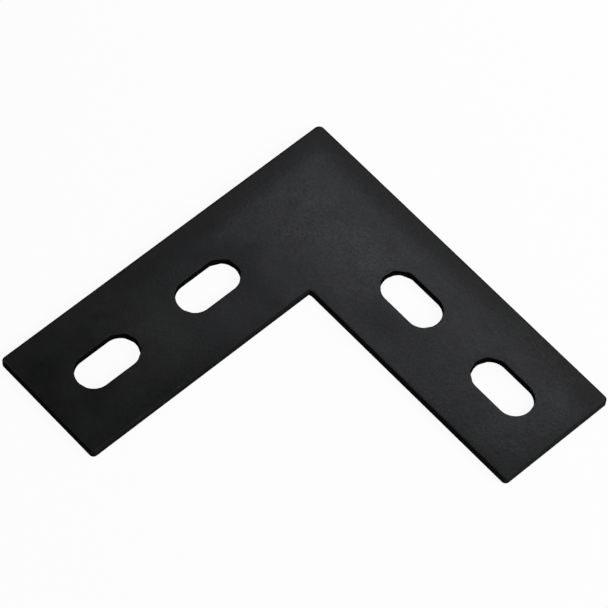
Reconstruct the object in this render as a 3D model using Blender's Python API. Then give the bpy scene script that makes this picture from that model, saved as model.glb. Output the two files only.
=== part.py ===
"""Flat corner brace: one punched steel plate in the shape of an L, with slots along both arms.

Units are metres and +Z is up. The origin is where the two arms' centrelines cross, on the seating
face. One arm runs along +X and the other along +Y. The plate is punched from above, so the metal is
drawn down into a soft roll along the upper edges, while the lower edges only lose their burr.
"""

import math

import bmesh
import bpy

# Plate
ARM_LENGTH = 0.100  # from the outer corner's edges to the end of an arm
ARM_WIDTH = 0.033
PLATE_THICKNESS = 0.0022  # over the coating

# Corners of the outline, seen from above
OUTER_CORNER_RADIUS = 0.0015
END_CORNER_RADIUS = 0.0012
INNER_CORNER_RADIUS = 0.0002

# Slots, on the centreline of each arm
SLOT_WIDTH = 0.0091
SLOT_TRAVEL = 0.0083  # between the centres of a slot's two round ends
SLOT_END_MARGIN = 0.0098  # metal from the last slot to the arm's end
SLOT_WEB = 0.0137  # metal between two slots

# Edges: the roll is a quarter of an ellipse
RIM_ROLL_WIDTH = 0.00055
RIM_ROLL_DEPTH = 0.0003
SLOT_ROLL_WIDTH = 0.0003
SLOT_ROLL_DEPTH = 0.0002
LOWER_EDGE_RADIUS = 0.0002
SHARPEST_CORNER = 0.00005  # radius left where a roll is wider than the corner it follows

# Fineness of the curves, in segments
CORNER_SEGMENTS = 6
SLOT_END_SEGMENTS = 16
ROLL_SEGMENTS = 4
LOWER_EDGE_SEGMENTS = 2
SHARP_ANGLE = math.radians(35)

# Coating
COAT_COLOUR = (0.014, 0.014, 0.015, 1.0)
COAT_ROUGHNESS = 0.5


def clear_scene():
    for obj in list(bpy.data.objects):
        bpy.data.objects.remove(obj, do_unlink=True)


def black_coat():
    """Satin black coating over the whole plate."""
    material = bpy.data.materials.new("black_coat")
    material.use_nodes = True
    shader = material.node_tree.nodes["Principled BSDF"]
    shader.inputs["Base Color"].default_value = COAT_COLOUR
    shader.inputs["Roughness"].default_value = COAT_ROUGHNESS
    shader.inputs["Metallic"].default_value = 0.0
    return material


def rim_points(inset):
    """The L outline moved inwards by inset, counter-clockwise seen from above."""
    half = ARM_WIDTH / 2
    reach = ARM_LENGTH - half
    corners = [
        (-half, -half, OUTER_CORNER_RADIUS),
        (reach, -half, END_CORNER_RADIUS),
        (reach, half, END_CORNER_RADIUS),
        (half, half, INNER_CORNER_RADIUS),
        (half, reach, END_CORNER_RADIUS),
        (-half, reach, END_CORNER_RADIUS),
    ]
    points = []
    for index, (x, y, radius) in enumerate(corners):
        before = corners[index - 1]
        after = corners[(index + 1) % len(corners)]
        arrive = unit(x - before[0], y - before[1])
        leave = unit(after[0] - x, after[1] - y)
        points += corner_arc((x, y), arrive, leave, radius, inset)
    return points


def unit(x, y):
    length = math.hypot(x, y)
    return x / length, y / length


def corner_arc(corner, arrive, leave, radius, inset):
    """A quarter turn that follows one corner at a distance of inset, inside the metal."""
    inward_before = (-arrive[1], arrive[0])
    inward_after = (-leave[1], leave[0])
    turns_left = arrive[0] * leave[1] - arrive[1] * leave[0] > 0
    side = 1 if turns_left else -1
    bend = side * max(radius - side * inset, SHARPEST_CORNER)
    points = []
    for step in range(CORNER_SEGMENTS + 1):
        angle = math.pi / 2 * step / CORNER_SEGMENTS
        points.append(
            tuple(
                corner[axis]
                + inward_before[axis] * (inset + bend * (1 - math.cos(angle)))
                + inward_after[axis] * (inset + bend * (1 - math.sin(angle)))
                for axis in (0, 1)
            )
        )
    return points


def slot_centres():
    """Each slot's distance from the origin, from the arm's end inwards. The corner square stays solid."""
    corner_square = ARM_WIDTH / 2
    slot_length = SLOT_TRAVEL + SLOT_WIDTH
    centre = ARM_LENGTH - corner_square - SLOT_END_MARGIN - slot_length / 2
    centres = []
    while centre - slot_length / 2 > corner_square:
        centres.append(centre)
        centre -= slot_length + SLOT_WEB
    return centres


def slot_points(centre, along_y, inset):
    """One slot's outline with its wall moved into the metal by inset."""
    radius = SLOT_WIDTH / 2 + inset
    points = []
    for side in (1, -1):
        for step in range(SLOT_END_SEGMENTS + 1):
            angle = side * math.pi / 2 - math.pi * step / SLOT_END_SEGMENTS
            along = centre + side * SLOT_TRAVEL / 2 + radius * math.cos(angle)
            across = radius * math.sin(angle)
            points.append((-across, along) if along_y else (along, across))
    return points


def edge_profile(roll_width, roll_depth):
    """(inset, height) up a wall: the lower edge's round, the wall, then the roll at the top."""
    round_radius = min(LOWER_EDGE_RADIUS, PLATE_THICKNESS / 4)
    depth = min(roll_depth, PLATE_THICKNESS / 2)
    profile = []
    for step in range(LOWER_EDGE_SEGMENTS + 1):
        angle = math.pi / 2 * step / LOWER_EDGE_SEGMENTS
        profile.append((round_radius * (1 - math.sin(angle)), round_radius * (1 - math.cos(angle))))
    for step in range(ROLL_SEGMENTS + 1):
        angle = math.pi / 2 * step / ROLL_SEGMENTS
        height = PLATE_THICKNESS - depth * (1 - math.sin(angle))
        profile.append((roll_width * (1 - math.cos(angle)), height))
    return profile


def add_wall(mesh, points_at, profile):
    """Rings of points joined into one closed wall. It returns the lowest and highest ring's edges."""
    rings = []
    for inset, height in profile:
        rings.append([mesh.verts.new((x, y, height)) for x, y in points_at(inset)])
    for lower, upper in zip(rings, rings[1:]):
        for index in range(len(lower)):
            after = (index + 1) % len(lower)
            mesh.faces.new((lower[index], lower[after], upper[after], upper[index]))
    return ring_edges(mesh, rings[0]), ring_edges(mesh, rings[-1])


def ring_edges(mesh, ring):
    return [mesh.edges.get((ring[index - 1], ring[index])) for index in range(len(ring))]


def brace_plate():
    """The plate: a wall round the rim and one in each slot, closed by two flat faces."""
    mesh = bmesh.new()
    slot_profile = edge_profile(SLOT_ROLL_WIDTH, SLOT_ROLL_DEPTH)
    lower, upper = add_wall(mesh, rim_points, edge_profile(RIM_ROLL_WIDTH, RIM_ROLL_DEPTH))
    for along_y in (False, True):
        for centre in slot_centres():
            low, high = add_wall(
                mesh, lambda inset: slot_points(centre, along_y, inset), slot_profile
            )
            lower += low
            upper += high
    for edges in (lower, upper):
        bmesh.ops.triangle_fill(mesh, use_beauty=True, edges=edges)
    bmesh.ops.recalc_face_normals(mesh, faces=mesh.faces)

    data = bpy.data.meshes.new("brace_plate")
    mesh.to_mesh(data)
    mesh.free()
    data.shade_smooth()
    data.set_sharp_from_angle(angle=SHARP_ANGLE)
    data.materials.append(black_coat())
    plate = bpy.data.objects.new("brace_plate", data)
    bpy.context.scene.collection.objects.link(plate)


clear_scene()
brace_plate()
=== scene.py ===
import math

import bmesh
import bpy
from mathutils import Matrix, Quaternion, Vector, geometry, noise


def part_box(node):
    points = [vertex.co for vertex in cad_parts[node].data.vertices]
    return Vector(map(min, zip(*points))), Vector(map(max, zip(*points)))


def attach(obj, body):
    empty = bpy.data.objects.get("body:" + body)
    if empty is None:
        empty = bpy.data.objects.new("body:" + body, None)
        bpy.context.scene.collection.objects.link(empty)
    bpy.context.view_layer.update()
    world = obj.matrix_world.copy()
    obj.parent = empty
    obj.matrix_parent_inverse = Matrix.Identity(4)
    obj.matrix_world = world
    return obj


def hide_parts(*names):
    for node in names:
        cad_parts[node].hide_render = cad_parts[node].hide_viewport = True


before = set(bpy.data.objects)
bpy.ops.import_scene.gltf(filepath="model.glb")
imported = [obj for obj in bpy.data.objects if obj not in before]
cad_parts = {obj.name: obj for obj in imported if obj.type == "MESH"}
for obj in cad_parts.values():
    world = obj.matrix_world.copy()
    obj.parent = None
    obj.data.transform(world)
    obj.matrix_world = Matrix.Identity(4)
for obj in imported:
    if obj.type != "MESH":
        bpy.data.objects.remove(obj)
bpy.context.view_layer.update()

# The plate, in metres. Its width, reach and thickness are read from the frame.
OUTER_CORNER_RADIUS = 0.0015
END_CORNER_RADIUS = 0.0012
INNER_CORNER_RADIUS = 0.0002
SLOT_WIDTH = 0.0091
SLOT_TRAVEL = 0.0083
SLOT_CENTRES = (0.0339, 0.065)
plate_low, plate_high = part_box("brace_plate")
HALF_WIDTH = -plate_low.x
REACH = plate_high.x
THICKNESS = plate_high.z - plate_low.z

# Edges, as width and depth: a quarter of an ellipse above, a small round below
RIM_ROLL = (0.00055, 0.0003)
SLOT_ROLL = (0.0003, 0.0002)
LOWER_EDGE_RADIUS = 0.0002

# The upper face sinks towards every edge, as width and depth, and is slightly wavy
RIM_CROWN = (0.004, 0.00003)
SLOT_CROWN = (0.002, 0.00001)
WAVE_LENGTH = 0.007
WAVE_HEIGHT = 0.000012
WAVE_LAYER = 0.5

# Fineness of the mesh
POINT_SPACING = 0.0010
CORNER_SEGMENTS = 12
SLOT_END_SEGMENTS = 40
ROLL_SEGMENTS = 12
LOWER_EDGE_SEGMENTS = 4
SAME_POINT = 1e-7

# Places of the coats in the mesh's list of materials. The upper quarter of a roll has its own coat.
FACE_COAT, RIM_COAT, ROLL_COAT, SLOT_COAT = range(4)
ROLL_COAT_LEVEL = LOWER_EDGE_SEGMENTS + 1 + ROLL_SEGMENTS * 3 // 4

# Coat colours, all linear
FACE_COLOURS = ((0.0057, 0.0067, 0.0059, 1), (0.0066, 0.0062, 0.0066, 1))
WALL_COLOURS = ((0.0050, 0.0054, 0.0052, 1), (0.0066, 0.0067, 0.0066, 1))
SPECK_COLOUR = (0.06, 0.06, 0.06, 1)
SPECK_COVER = 0.5
# Painted shade in the strips never takes the face below this share of its colour
DARKEST = 0.1  # least share of its colour that the face keeps in the strips

# Roughness of the coats
FACE_ROUGHNESS = (0.27, 0.36)
FINE_ROUGHNESS = 0.015
SPOT_POLISH = 0.02
WALL_ROUGHNESS = (0.6, 0.75)

# Noise in the coats: size in millimetres, detail, and the layer that it is taken from
BROAD_CLOUDS = (9.0, 3.0, 2.0)
TINT_CLOUDS = (5.0, 2.0, 7.0)
FINE_CLOUDS = (1.6, 2.0, 4.0)
PEEL_CLOUDS = (0.75, 2.0, 1.0)
GRAIN_CLOUDS = (0.55, 2.0, 9.0)
WALL_TINT_CLOUDS = (2.5, 2.0, 5.0)
WALL_GRAIN_CLOUDS = (0.3, 1.0, 6.0)
STREAK_CLOUDS = (0.22, 2.0, 3.0)
STREAK_STRETCH = (1, 1, 0.12)

# Heights of the bumps in metres
FINE_HEIGHT = 0.000015
PEEL_HEIGHT = 0.00003
GRAIN_HEIGHT = 0.000006
STREAK_HEIGHT = 0.000012
WALL_GRAIN_HEIGHT = 0.000004

# Grain and peel weaken along the +X arm and a little along the +Y arm, over ranges in millimetres
GRAIN_ALONG_X = (0.7, 0.12)
PEEL_ALONG_X = (1.15, 0.6)
TEXTURE_ALONG_Y = (1.0, 0.75)
X_FADE = (6.0, 32.0)
Y_FADE = (18.0, 55.0)

# Strips along the two outer sides, duller and darker with painted shade: start and end in
# millimetres, added roughness, lightness lost to painted shade
STRIPS = ((0.0, 8.0, 0.34, 1.15), (1.0, 8.0, 0.24, 1.1))
STRIP_RAGGEDNESS = 0.8

# Spots in the coat, partly painted sheen and shade, partly uneven tone: middle and size in
# millimetres, and how much lighter or darker
PAINTED_SHEEN_AND_TONE_SPOTS = (
    ((0.0, 11.0), (10.0, 19.0), 0.9),
    ((26.0, 1.0), (13.0, 18.0), -0.75),
    ((8.5, 1.5), (6.5, 5.5), 0.8),
    ((4.0, 21.5), (11.0, 7.0), 0.5),
    ((-14.0, 62.0), (6.0, 22.0), 0.5),
    ((0.0, -6.0), (7.0, 6.0), 0.4),
    ((54.5, 0.0), (14.0, 15.0), 1.05),
    ((15.5, 48.0), (5.5, 30.0), 0.5),
    ((8.5, 33.5), (6.0, 9.0), -0.9),
    ((-3.0, 53.0), (6.0, 5.0), 0.8),
    ((2.0, 73.0), (19.0, 11.0), 0.9),
    ((46.0, 17.5), (46.0, 6.5), -0.6),
)
SPOT_RAGGEDNESS = 0.2
SPOT_FADE = (0.1, 1.1)  # from full to none, as shares of a spot's size

# Specks: size of a cell and of its speck in millimetres, and the share of cells without one
FACE_SPECKS = (3.0, 0.13, 0.8)
ROLL_SPECKS = (1.3, 0.26, 0.55)

# What sets the roll's and the slots' coats apart: both are darker, as painted shade, and the roll's
# is also duller
ROLL_SHADED_BRIGHTNESS = 0.7
ROLL_DULLING = 0.12
SLOT_SHADED_BRIGHTNESS = 0.4

# Walls: painted light makes the rim's lighter near its top, most where it faces +Y, and lighter at
# the +Y end
WALL_PAINTED_LIGHT = 0.7
PAINTED_LIGHT_HEIGHTS = (1.2, 2.1)
PAINTED_LIGHT_AGAINST_X = 0.5
FAR_END = (70.0, 83.0)
FAR_END_PAINTED_LIGHT = 1.35

# Camera: it looks at the point where the photograph's centre falls on the plate
CAMERA_AIM = Vector((0.0201, 0.0184, 0.0022))
CAMERA_AZIMUTH = math.radians(43.838)
CAMERA_ELEVATION = math.radians(59.518)
CAMERA_ROLL = math.radians(4.739)
CAMERA_DISTANCE = 0.9529
CAMERA_LENS = 240.81
CAMERA_SENSOR = 36.0
CAMERA_CLIP = (0.01, 50.0)

# Square lamps: azimuth and elevation in degrees, distance and side in metres, radiance, colour
LAMPS = {
    "key": (-155, 40, 0.22, 0.17, 0.87, (0.96, 0.98, 1.06)),
    "fill": (115, 32, 1.2, 0.9, 8.6, (1, 1, 1)),
    "side": (-5, 12, 1.2, 0.5, 5.0, (1, 1, 1)),
}
LAMP_AIM = Vector((0.0335, 0.0335, 0.0))
WORLD_COLOUR = (1, 1, 1, 1)
WORLD_STRENGTH = 0.03

# Floor: looked at, it is mostly a white glow, and the rest keeps the plate's shadow
FLOOR_COLOUR = (0.82, 0.82, 0.82, 1)
FLOOR_ROUGHNESS = 0.9
FLOOR_GLOW = 0.94
FLOOR_HALF_SIZE = 6.0
FLOOR_GAP = 0.00005


def unit(x, y):
    length = math.hypot(x, y)
    return x / length, y / length


def outline_corners():
    return [
        (-HALF_WIDTH, -HALF_WIDTH, OUTER_CORNER_RADIUS),
        (REACH, -HALF_WIDTH, END_CORNER_RADIUS),
        (REACH, HALF_WIDTH, END_CORNER_RADIUS),
        (HALF_WIDTH, HALF_WIDTH, INNER_CORNER_RADIUS),
        (HALF_WIDTH, REACH, END_CORNER_RADIUS),
        (-HALF_WIDTH, REACH, END_CORNER_RADIUS),
    ]


def corner_arc(corner, arrive, leave, radius, inset):
    """A quarter turn that follows one corner at a distance of inset, inside the metal."""
    inward_before = (-arrive[1], arrive[0])
    inward_after = (-leave[1], leave[0])
    side = 1 if arrive[0] * leave[1] - arrive[1] * leave[0] > 0 else -1
    bend = side * (radius - side * inset)
    points = []
    for step in range(CORNER_SEGMENTS + 1):
        angle = math.pi / 2 * step / CORNER_SEGMENTS
        before = inset + bend * (1 - math.cos(angle))
        after = inset + bend * (1 - math.sin(angle))
        points.append(
            tuple(corner[i] + inward_before[i] * before + inward_after[i] * after for i in (0, 1))
        )
    return points


def with_straight_runs(arcs, counts):
    """Joins arcs into one ring, with evenly spaced points along the straight runs between them."""
    ring = []
    for index, arc in enumerate(arcs):
        ring += arc
        start = arc[-1]
        end = arcs[(index + 1) % len(arcs)][0]
        for step in range(1, counts[index]):
            share = step / counts[index]
            ring.append(
                (start[0] + (end[0] - start[0]) * share, start[1] + (end[1] - start[1]) * share)
            )
    return ring


def rim_ring(inset):
    corners = outline_corners()
    arcs = []
    counts = []
    for index, (x, y, radius) in enumerate(corners):
        before = corners[index - 1]
        after = corners[(index + 1) % len(corners)]
        arrive = unit(x - before[0], y - before[1])
        leave = unit(after[0] - x, after[1] - y)
        arcs.append(corner_arc((x, y), arrive, leave, radius, inset))
        counts.append(round(math.hypot(after[0] - x, after[1] - y) / POINT_SPACING))
    return with_straight_runs(arcs, counts)


def slot_ring(centre, along_y, inset):
    radius = SLOT_WIDTH / 2 + inset
    arcs = []
    for side in (1, -1):
        arc = []
        for step in range(SLOT_END_SEGMENTS + 1):
            angle = side * math.pi / 2 - math.pi * step / SLOT_END_SEGMENTS
            along = centre + side * SLOT_TRAVEL / 2 + radius * math.cos(angle)
            across = radius * math.sin(angle)
            arc.append((-across, along) if along_y else (along, across))
        arcs.append(arc)
    count = round(SLOT_TRAVEL / POINT_SPACING)
    return with_straight_runs(arcs, [count, count])


def slots():
    return [(centre, along_y) for along_y in (False, True) for centre in SLOT_CENTRES]


def rim_distance(x, y):
    """Distance from a point in the plate to the nearest stretch of the rim."""
    corners = outline_corners()
    nearest = math.inf
    for index, (bx, by, _) in enumerate(corners):
        ax, ay, _ = corners[index - 1]
        dx, dy = bx - ax, by - ay
        share = max(0.0, min(1.0, ((x - ax) * dx + (y - ay) * dy) / (dx * dx + dy * dy)))
        nearest = min(nearest, math.hypot(x - ax - dx * share, y - ay - dy * share))
    return nearest


def slot_distance(x, y):
    """Distance from a point to the nearest slot's wall, negative inside a slot."""
    nearest = math.inf
    for centre, along_y in slots():
        along, across = (y, x) if along_y else (x, y)
        past = max(abs(along - centre) - SLOT_TRAVEL / 2, 0.0)
        nearest = min(nearest, math.hypot(past, across) - SLOT_WIDTH / 2)
    return nearest


def crown(distance, size):
    width, depth = size
    return depth * max(1 - max(distance, 0.0) / width, 0.0) ** 2


def sink(x, y):
    """How far the upper face lies below its highest level at a point."""
    edges = crown(rim_distance(x, y), RIM_CROWN) + crown(slot_distance(x, y), SLOT_CROWN)
    wave = noise.noise(Vector((x / WAVE_LENGTH, y / WAVE_LENGTH, WAVE_LAYER)))
    return edges + WAVE_HEIGHT * (1 + wave)


def in_plate(x, y):
    in_arms = (-HALF_WIDTH < x < REACH and -HALF_WIDTH < y < HALF_WIDTH) or (
        -HALF_WIDTH < y < REACH and -HALF_WIDTH < x < HALF_WIDTH
    )
    return in_arms and slot_distance(x, y) > 0


def edge_profile(roll):
    """Steps up a wall, as (inset, height, whether the step sinks with the upper face)."""
    width, depth = roll
    profile = []
    for step in range(LOWER_EDGE_SEGMENTS + 1):
        angle = math.pi / 2 * step / LOWER_EDGE_SEGMENTS
        inset = LOWER_EDGE_RADIUS * (1 - math.sin(angle))
        profile.append((inset, LOWER_EDGE_RADIUS * (1 - math.cos(angle)), False))
    for step in range(ROLL_SEGMENTS + 1):
        angle = math.pi / 2 * step / ROLL_SEGMENTS
        height = THICKNESS - depth * (1 - math.sin(angle))
        profile.append((width * (1 - math.cos(angle)), height, True))
    return profile


def add_wall(mesh, ring_at, roll, coat):
    """Rings of points joined into one closed wall. It returns the lowest and the highest ring."""
    rings = []
    for inset, height, sinks in edge_profile(roll):
        ring = []
        for x, y in ring_at(inset):
            ring.append(mesh.verts.new((x, y, height - (sink(x, y) if sinks else 0.0))))
        rings.append(ring)
    for level, (lower, upper) in enumerate(zip(rings, rings[1:])):
        for index in range(len(lower)):
            after = (index + 1) % len(lower)
            face = mesh.faces.new((lower[index], lower[after], upper[after], upper[index]))
            face.material_index = coat if level < ROLL_COAT_LEVEL else ROLL_COAT
    return rings[0], rings[-1]


def grid_points(clearance):
    """Staggered points inside the plate, no nearer to an edge than the clearance."""
    row_height = POINT_SPACING * math.sqrt(3) / 2
    rows = round((REACH + HALF_WIDTH) / row_height)
    columns = round((REACH + HALF_WIDTH) / POINT_SPACING)
    for row in range(rows):
        y = -HALF_WIDTH + (row + 0.5) * row_height
        for column in range(columns):
            x = -HALF_WIDTH + (column + 0.25 + 0.5 * (row % 2)) * POINT_SPACING
            if in_plate(x, y) and min(rim_distance(x, y), slot_distance(x, y)) > clearance:
                yield x, y


def fill_face(mesh, rings, clearance, height_at, upwards):
    """Closes one side with triangles over a grid of points inside the rings."""
    vertices = [vertex for ring in rings for vertex in ring]
    places = [Vector((vertex.co.x, vertex.co.y)) for vertex in vertices]
    edges = []
    first = 0
    for ring in rings:
        size = len(ring)
        edges += [(first + index, first + (index + 1) % size) for index in range(size)]
        first += size
    for x, y in grid_points(clearance):
        places.append(Vector((x, y)))
        vertices.append(mesh.verts.new((x, y, height_at(x, y))))
    found, _, triangles, origins, _, _ = geometry.delaunay_2d_cdt(places, edges, [], 0, SAME_POINT)
    for triangle in triangles:
        middle = sum((found[corner] for corner in triangle), Vector((0, 0))) / 3
        if not in_plate(middle.x, middle.y):
            continue
        corners = [vertices[origins[corner][0]] for corner in triangle]
        face = mesh.faces.new(corners if upwards else reversed(corners))
        face.material_index = FACE_COAT


def plate_mesh():
    mesh = bmesh.new()
    walls = [add_wall(mesh, rim_ring, RIM_ROLL, RIM_COAT)]
    for centre, along_y in slots():
        walls.append(
            add_wall(mesh, lambda inset: slot_ring(centre, along_y, inset), SLOT_ROLL, SLOT_COAT)
        )
    lower = [wall[0] for wall in walls]
    upper = [wall[1] for wall in walls]
    room = POINT_SPACING / 2
    fill_face(mesh, upper, RIM_ROLL[0] + room, lambda x, y: THICKNESS - sink(x, y), True)
    fill_face(mesh, lower, LOWER_EDGE_RADIUS + room, lambda x, y: 0.0, False)
    bmesh.ops.recalc_face_normals(mesh, faces=mesh.faces)
    data = bpy.data.meshes.new("coated_plate")
    mesh.to_mesh(data)
    mesh.free()
    data.shade_smooth()
    return data


def node(tree, kind, inputs=(), **settings):
    """A new shader node. Sockets among its inputs are linked and other values are set."""
    made = tree.nodes.new(kind)
    for name, value in settings.items():
        setattr(made, name, value)
    for key, value in dict(inputs).items():
        if isinstance(value, bpy.types.NodeSocket):
            tree.links.new(value, made.inputs[key])
        else:
            made.inputs[key].default_value = value
    return made


def maths(tree, operation, first, *others):
    """One operation applied to a row of values, from left to right."""
    for other in others:
        inputs = {0: first, 1: other}
        first = node(tree, "ShaderNodeMath", inputs, operation=operation).outputs[0]
    return first


def millimetres(tree, stretch=(1, 1, 1)):
    """The object's own coordinates in millimetres."""
    place = node(tree, "ShaderNodeTexCoord").outputs["Object"]
    scale = [1000 * factor for factor in stretch]
    return node(tree, "ShaderNodeMapping", {"Vector": place, "Scale": scale}).outputs[0]


def components(tree, vector):
    return node(tree, "ShaderNodeSeparateXYZ", {"Vector": vector}).outputs


def clouds(tree, place, look):
    """Soft noise round 0.5, of a size in millimetres, a detail and a layer."""
    size, detail, layer = look
    inputs = {"Vector": place, "W": layer, "Scale": 1 / size, "Detail": detail, "Roughness": 0.5}
    return node(tree, "ShaderNodeTexNoise", inputs, noise_dimensions="4D").outputs["Fac"]


def spread(tree, value, low, high, start=0.3, end=0.7):
    """Maps a value between start and end smoothly onto low to high. The defaults suit clouds."""
    inputs = {"Value": value, "From Min": start, "From Max": end, "To Min": low, "To Max": high}
    return node(tree, "ShaderNodeMapRange", inputs, interpolation_type="SMOOTHSTEP").outputs[0]


def blend(tree, share, first, second):
    mix = node(tree, "ShaderNodeMix", {0: share, 6: first, 7: second}, data_type="RGBA")
    return mix.outputs[2]


def scaled(tree, colour, factor):
    inputs = {"Vector": colour, "Scale": factor}
    return node(tree, "ShaderNodeVectorMath", inputs, operation="SCALE").outputs[0]


def bumps(tree, layers):
    """Stacked bump nodes, from (height, distance in metres) pairs."""
    normal = None
    for height, distance in layers:
        inputs = {"Height": height, "Distance": distance, "Strength": 1.0}
        if normal is not None:
            inputs["Normal"] = normal
        normal = node(tree, "ShaderNodeBump", inputs).outputs[0]
    return normal


def soft_spot(tree, place, middle, size, tint):
    """1 in the middle of a ragged spot, falling to 0 at its edge."""
    scale = (1 / size[0], 1 / size[1], 0)
    shift = (-middle[0] / size[0], -middle[1] / size[1], 0)
    local = node(tree, "ShaderNodeMapping", {"Vector": place, "Scale": scale, "Location": shift})
    away = node(tree, "ShaderNodeVectorMath", {0: local.outputs[0]}, operation="LENGTH")
    shake = spread(tree, tint, -SPOT_RAGGEDNESS, SPOT_RAGGEDNESS)
    ragged = maths(tree, "ADD", away.outputs["Value"], shake)
    return spread(tree, ragged, 1.0, 0.0, *SPOT_FADE)


def painted_sheen_and_tone(tree, place, tint):
    """The sum of every spot, as the share by which they lighten the coat, partly painted sheen and
    shade and partly uneven tone.
    """
    sheen_and_tone = []
    for middle, size, strength in PAINTED_SHEEN_AND_TONE_SPOTS:
        spot = soft_spot(tree, place, middle, size, tint)
        sheen_and_tone.append(maths(tree, "MULTIPLY", spot, strength))
    return maths(tree, "ADD", *sheen_and_tone)


def side_strips(tree, axes, broad):
    """The roughness that the strips along the outer sides add, and the lightness that their painted
    shade takes.
    """
    added = []
    painted_shade_taken = []
    for axis, (start, end, roughness, lightness) in zip(axes, STRIPS):
        inwards = maths(tree, "ADD", axis, HALF_WIDTH * 1000)
        shake = spread(tree, broad, -STRIP_RAGGEDNESS, STRIP_RAGGEDNESS)
        strip = spread(tree, maths(tree, "ADD", inwards, shake), 1.0, 0.0, start, end)
        added.append(maths(tree, "MULTIPLY", strip, roughness))
        painted_shade_taken.append(maths(tree, "MULTIPLY", strip, lightness))
    return maths(tree, "MAXIMUM", *added), maths(tree, "ADD", *painted_shade_taken)


def specks(tree, place, look):
    """1 inside small round specks, at most one to a cell."""
    cell_size, speck_size, empty = look
    cells = node(tree, "ShaderNodeTexVoronoi", {"Vector": place, "Scale": 1 / cell_size}).outputs
    inside = maths(tree, "LESS_THAN", cells["Distance"], speck_size / cell_size)
    drawn = node(tree, "ShaderNodeSeparateColor", {"Color": cells["Color"]}).outputs[0]
    return maths(tree, "MULTIPLY", inside, maths(tree, "GREATER_THAN", drawn, empty))


def coat_material(name):
    material = bpy.data.materials.new(name)
    material.use_nodes = True
    return material, material.node_tree, material.node_tree.nodes["Principled BSDF"]


def face_coat(name, brightness, dulling, speck_look):
    """Satin powder coat with a fine orange peel, broad patches of painted sheen and shade that are
    partly uneven tone, and a few light specks.

    It is duller in strips along the two outer sides, and darker there with painted shade.
    """
    material, tree, shader = coat_material(name)
    place = millimetres(tree)
    axes = components(tree, place)
    broad = clouds(tree, place, BROAD_CLOUDS)
    tint = clouds(tree, place, TINT_CLOUDS)
    fine = clouds(tree, place, FINE_CLOUDS)
    peel = clouds(tree, place, PEEL_CLOUDS)
    grain = clouds(tree, place, GRAIN_CLOUDS)
    # Painted sheen and shade, partly uneven tone, in broad spots
    sheen_and_tone = painted_sheen_and_tone(tree, place, tint)
    strip_roughness, strip_painted_shade = side_strips(tree, axes, broad)

    along_y = spread(tree, axes[1], *TEXTURE_ALONG_Y, *Y_FADE)
    peel_share = spread(tree, axes[0], *PEEL_ALONG_X, *X_FADE)
    peel = maths(tree, "MULTIPLY", peel, peel_share, along_y)
    grain_share = spread(tree, axes[0], *GRAIN_ALONG_X, *X_FADE)
    swing = maths(tree, "MULTIPLY", spread(tree, grain, -1.0, 1.0), grain_share, along_y)

    lightness = maths(
        tree, "MULTIPLY", maths(tree, "ADD", sheen_and_tone, 1.0), maths(tree, "ADD", swing, 1.0)
    )
    # Painted shade darkens the coat in the strips along the two outer sides
    lightness = maths(tree, "SUBTRACT", lightness, strip_painted_shade)
    lightness = maths(tree, "MULTIPLY", maths(tree, "MAXIMUM", lightness, DARKEST), brightness)
    colour = blend(tree, spread(tree, tint, 0.0, 1.0), *FACE_COLOURS)
    colour = scaled(tree, colour, lightness)
    cover = maths(tree, "MULTIPLY", specks(tree, place, speck_look), SPECK_COVER)
    tree.links.new(blend(tree, cover, colour, SPECK_COLOUR), shader.inputs["Base Color"])

    cloudy = spread(tree, broad, *FACE_ROUGHNESS, 0.35, 0.65)
    uneven = spread(tree, fine, -FINE_ROUGHNESS, FINE_ROUGHNESS)
    dullness = maths(tree, "ADD", cloudy, uneven, strip_roughness, dulling)
    polish = maths(tree, "MULTIPLY", sheen_and_tone, SPOT_POLISH)
    tree.links.new(maths(tree, "SUBTRACT", dullness, polish), shader.inputs["Roughness"])

    layers = [(fine, FINE_HEIGHT), (peel, PEEL_HEIGHT), (grain, GRAIN_HEIGHT)]
    tree.links.new(bumps(tree, layers), shader.inputs["Normal"])
    return material


def wall_coat(name, brightness, painted_light):
    """The thin dull coat over a punched wall, with the upright marks that the punch leaves, and
    painted light near its top where it faces +Y and at the +Y end.
    """
    material, tree, shader = coat_material(name)
    place = millimetres(tree)
    axes = components(tree, place)
    facing = components(tree, node(tree, "ShaderNodeTexCoord").outputs["Normal"])
    streaks = clouds(tree, millimetres(tree, STREAK_STRETCH), STREAK_CLOUDS)
    tint = clouds(tree, place, WALL_TINT_CLOUDS)
    grain = clouds(tree, place, WALL_GRAIN_CLOUDS)

    # Painted light: lighter near the top where the wall faces +Y, less where it faces +X
    against_x = maths(tree, "MULTIPLY", facing[0], PAINTED_LIGHT_AGAINST_X)
    turned_to_light = maths(tree, "SUBTRACT", facing[1], against_x)
    painted_light_share = maths(tree, "MULTIPLY", spread(tree, axes[2], 0.0, painted_light, *PAINTED_LIGHT_HEIGHTS), turned_to_light)
    # Painted light at the +Y end
    lightness = spread(tree, axes[1], brightness, brightness * FAR_END_PAINTED_LIGHT, *FAR_END)
    lightness = maths(tree, "MULTIPLY", lightness, maths(tree, "ADD", painted_light_share, 1.0))
    colour = blend(tree, spread(tree, tint, 0.0, 1.0), *WALL_COLOURS)
    tree.links.new(scaled(tree, colour, lightness), shader.inputs["Base Color"])

    tree.links.new(spread(tree, streaks, *WALL_ROUGHNESS), shader.inputs["Roughness"])
    layers = [(streaks, STREAK_HEIGHT), (grain, WALL_GRAIN_HEIGHT)]
    tree.links.new(bumps(tree, layers), shader.inputs["Normal"])
    shader.inputs["Specular IOR Level"].default_value = 0.0
    return material


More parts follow.
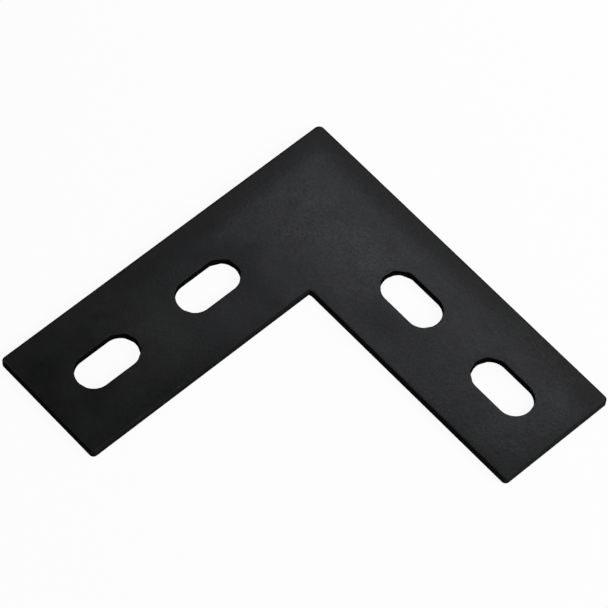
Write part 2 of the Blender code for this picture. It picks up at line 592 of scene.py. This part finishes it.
def add_plate():
    data = plate_mesh()
    data.materials.append(face_coat("satin_black_coat", 1.0, 0.0, FACE_SPECKS))
    data.materials.append(wall_coat("wall_coat", 1.0, WALL_PAINTED_LIGHT))
    # A darker copy of the face coat on the upper roll, as painted shade
    data.materials.append(face_coat("shaded_roll_coat", ROLL_SHADED_BRIGHTNESS, ROLL_DULLING, ROLL_SPECKS))
    # A darker copy of the wall coat in the slots, as painted shade
    data.materials.append(wall_coat("shaded_slot_coat", SLOT_SHADED_BRIGHTNESS, 0.0))
    plate = bpy.data.objects.new("coated_plate", data)
    bpy.context.scene.collection.objects.link(plate)
    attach(plate, "root")
    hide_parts("brace_plate")


def floor_material():
    """Pale and matt, and glowing white to the camera and in reflections."""
    material, tree, shader = coat_material("white_floor")
    shader.inputs["Base Color"].default_value = FLOOR_COLOUR
    shader.inputs["Roughness"].default_value = FLOOR_ROUGHNESS
    shader.inputs["Specular IOR Level"].default_value = 0.0
    glow = node(tree, "ShaderNodeEmission", {"Strength": 1.0}).outputs[0]
    path = node(tree, "ShaderNodeLightPath").outputs
    rays = [path[f"Is {kind} Ray"] for kind in ("Camera", "Glossy", "Transmission")]
    share = maths(tree, "MULTIPLY", maths(tree, "MAXIMUM", *rays), FLOOR_GLOW)
    mix = node(tree, "ShaderNodeMixShader", {0: share, 1: shader.outputs[0], 2: glow})
    tree.links.new(mix.outputs[0], tree.nodes["Material Output"].inputs["Surface"])
    return material


def add_floor():
    data = bpy.data.meshes.new("floor")
    corners = [
        (x * FLOOR_HALF_SIZE, y * FLOOR_HALF_SIZE, -FLOOR_GAP)
        for x, y in ((-1, -1), (1, -1), (1, 1), (-1, 1))
    ]
    data.from_pydata(corners, [], [(0, 1, 2, 3)])
    data.materials.append(floor_material())
    floor = bpy.data.objects.new("floor", data)
    bpy.context.scene.collection.objects.link(floor)


def direction(azimuth, elevation):
    return Vector(
        (
            math.cos(elevation) * math.cos(azimuth),
            math.cos(elevation) * math.sin(azimuth),
            math.sin(elevation),
        )
    )


def add_camera():
    data = bpy.data.cameras.new("camera")
    data.lens = CAMERA_LENS
    data.sensor_width = CAMERA_SENSOR
    data.clip_start, data.clip_end = CAMERA_CLIP
    camera = bpy.data.objects.new("camera", data)
    towards = direction(CAMERA_AZIMUTH, CAMERA_ELEVATION)
    roll = Quaternion((0, 0, 1), CAMERA_ROLL)
    camera.location = CAMERA_AIM + towards * CAMERA_DISTANCE
    camera.rotation_mode = "QUATERNION"
    camera.rotation_quaternion = towards.to_track_quat("Z", "Y") @ roll
    bpy.context.scene.collection.objects.link(camera)
    bpy.context.scene.camera = camera


def add_softbox(name, azimuth, elevation, distance, side, radiance, colour):
    """A square lamp, with its strength given as the radiance of its face."""
    data = bpy.data.lights.new(name, "AREA")
    data.color = colour
    data.shape = "SQUARE"
    data.size = side
    data.energy = radiance * math.pi * side * side
    lamp = bpy.data.objects.new(name, data)
    towards = direction(math.radians(azimuth), math.radians(elevation))
    lamp.location = LAMP_AIM + towards * distance
    lamp.rotation_mode = "QUATERNION"
    lamp.rotation_quaternion = towards.to_track_quat("Z", "Y")
    lamp.visible_camera = False
    bpy.context.scene.collection.objects.link(lamp)


def light_studio():
    for name, settings in LAMPS.items():
        add_softbox(name, *settings)
    world = bpy.data.worlds.new("studio")
    world.use_nodes = True
    background = world.node_tree.nodes["Background"]
    background.inputs["Color"].default_value = WORLD_COLOUR
    background.inputs["Strength"].default_value = WORLD_STRENGTH
    bpy.context.scene.world = world


add_plate()
add_floor()
add_camera()
light_studio()
bpy.context.scene.view_settings.view_transform = "Standard"
